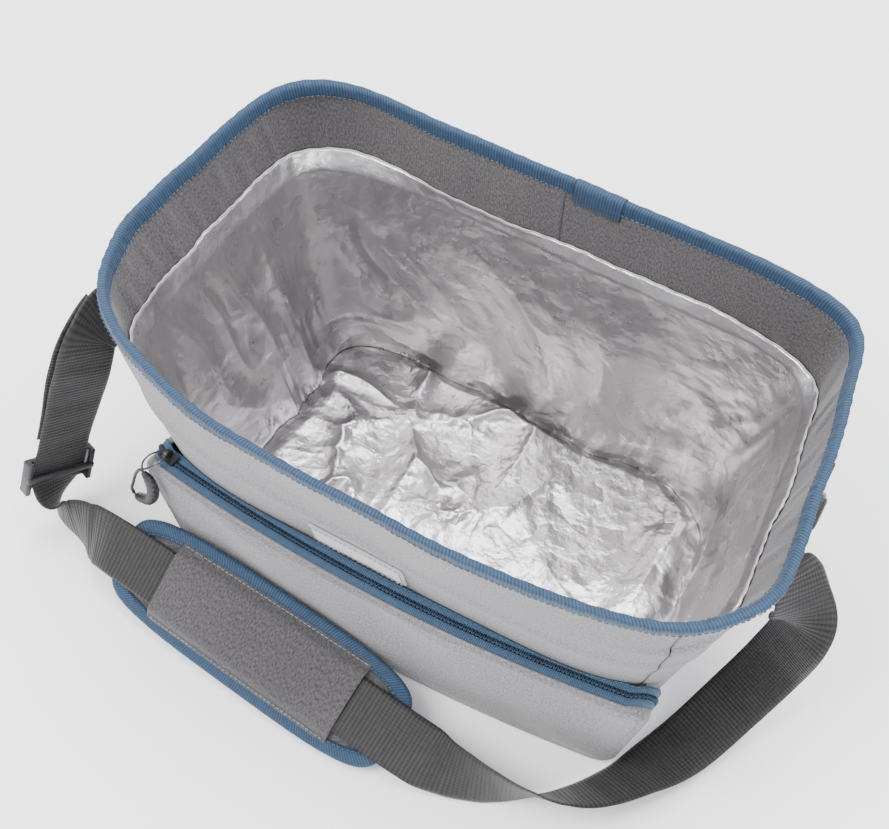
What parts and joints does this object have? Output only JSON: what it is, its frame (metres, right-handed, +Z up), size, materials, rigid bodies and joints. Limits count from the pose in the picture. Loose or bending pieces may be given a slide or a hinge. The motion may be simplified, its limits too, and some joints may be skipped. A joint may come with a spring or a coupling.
{
  "type": "insulated cooler bag",
  "caption": "Insulated cooler bag with an open foil-lined compartment, a zipped front pocket and a padded shoulder strap on two side rings.",
  "frame": {"origin": "centre of the flat underside of the base panel", "axes": "+X to the right seen from the pocket side and along the bag's long side, -Y out of the pocket side, +Z up out of the open top"},
  "size_m": [0.5161, 0.3111, 0.25],
  "materials": {
    "canvas": "matte",
    "lining": "matte",
    "foil": "metallised foil",
    "foam": "matte",
    "board": "matte",
    "blue_tape": "ribbed",
    "blue_coil": "satin",
    "plush": "plush",
    "webbing": "ribbed",
    "heather": "matte",
    "cord": "matte",
    "black_plastic": "satin",
    "ring_metal": "satin"
  },
  "bodies": {
    "bag": {"outer_front_panel": "canvas", "outer_back_panel": "canvas", "outer_left_panel": "canvas", "outer_right_panel": "canvas", "foam_front": "foam", "foam_back": "foam", "foam_left": "foam", "foam_right": "foam", "base_panel": "canvas", "base_board": "board", "foam_base": "foam", "liner_floor": "foil", "liner_walls": "foil", "liner_hem": "foil", "collar_lining": "lining", "rim_binding": "blue_tape", "rim_binding_lap": "blue_tape", "closure_loop_patch": "plush", "pocket_front_panel": "canvas", "pocket_edge_strip": "canvas", "pocket_gusset_left": "canvas", "pocket_gusset_right": "canvas", "pocket_gusset_bottom": "canvas", "zip_tape_front": "blue_tape", "zip_tape_wall": "blue_tape", "zip_coil": "blue_coil", "zip_stop_left": "ring_metal", "zip_stop_right": "ring_metal", "strap_tab_left": "webbing", "strap_tab_right": "webbing"},
    "strap": {"strap_ring_left": "ring_metal", "strap_ring_right": "ring_metal", "strap_end_left": "webbing", "strap_end_right": "webbing", "strap_webbing": "webbing", "strap_return_layer": "webbing"},
    "adjuster": {"strap_adjuster": "black_plastic"},
    "pad": {"pad_body": "heather", "pad_sleeve": "heather", "pad_binding": "blue_tape"},
    "slider": {"zip_slider": "black_plastic", "zip_slider_bridge": "black_plastic"},
    "pull": {"zip_pull_link": "ring_metal", "zip_pull_cord": "cord", "zip_pull_grip": "black_plastic"}
  },
  "joints": [
    {"name": "strap_swing", "type": "hinge", "parent": "bag", "child": "strap", "pos_m": [0, -0.008, 0.182], "axis": [-1, 0, 0], "range_deg": [0, 95]},
    {"name": "pad_slide", "type": "slide", "parent": "strap", "child": "pad", "axis": [0.9944, -0.0746, -0.0746], "range_m": [-0.004, 0.01]},
    {"name": "adjuster_slide", "type": "slide", "parent": "strap", "child": "adjuster", "axis": [-0.06, -0.3961, -0.9162], "range_m": [-0.004, 0.003]},
    {"name": "slider_run", "type": "hinge", "parent": "bag", "child": "slider", "pos_m": [0, 0.988, 0.118], "axis": [0, 0, 1], "range_deg": [0, 16.2]},
    {"name": "pull_flap", "type": "hinge", "parent": "slider", "child": "pull", "pos_m": [-0.16, -0.12, 0.1207], "axis": [-0.9897, 0.1429, 0], "range_deg": [0, 80]}
  ]
}
